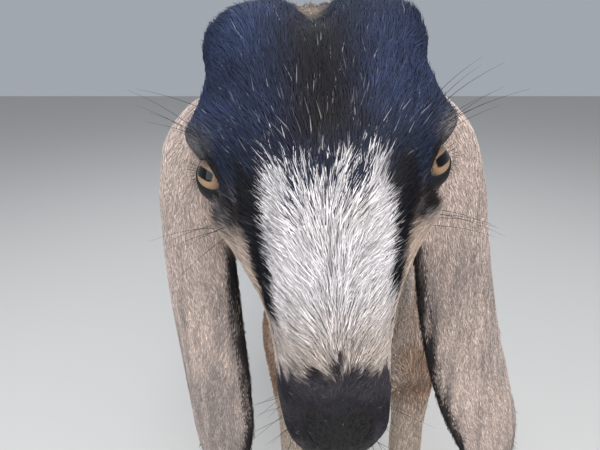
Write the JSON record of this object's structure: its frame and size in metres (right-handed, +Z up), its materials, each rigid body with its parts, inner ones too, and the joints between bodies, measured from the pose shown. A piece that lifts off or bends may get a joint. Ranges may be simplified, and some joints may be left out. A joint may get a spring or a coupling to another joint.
{
  "type": "nubian goat",
  "caption": "Life-size still model of a standing Nubian goat doe with long pendulous ears, a convex face, a dark head with a white blaze and a tan body, for display.",
  "frame": {"origin": "on the floor under the middle of the goat's bounding box", "axes": "+Y runs from the head to the tail, +X points to the goat's left side, +Z is up"},
  "size_m": [0.3576, 1.1558, 0.9522],
  "materials": {
    "head_coat": "short glossy dark hair with a white blaze",
    "body_coat": "short tan hair, darker along the back",
    "ear_coat": "very short mottled tan and grey hair with a dark front edge",
    "eye": "wet amber iris with a level dark pupil",
    "hoof": "dark grey horn"
  },
  "bodies": {
    "root": {"head": "head_coat", "neck": "body_coat", "torso": "body_coat", "tail": "body_coat", "ear_left": "ear_coat", "ear_right": "ear_coat", "eye_left": "eye", "eye_right": "eye", "foreleg_left": "body_coat", "foreleg_right": "body_coat", "hindleg_left": "body_coat", "hindleg_right": "body_coat", "hoof_fore_left_outer": "hoof", "hoof_fore_left_inner": "hoof", "hoof_fore_right_outer": "hoof", "hoof_fore_right_inner": "hoof", "hoof_hind_left_outer": "hoof", "hoof_hind_left_inner": "hoof", "hoof_hind_right_outer": "hoof", "hoof_hind_right_inner": "hoof"}
  },
  "joints": []
}
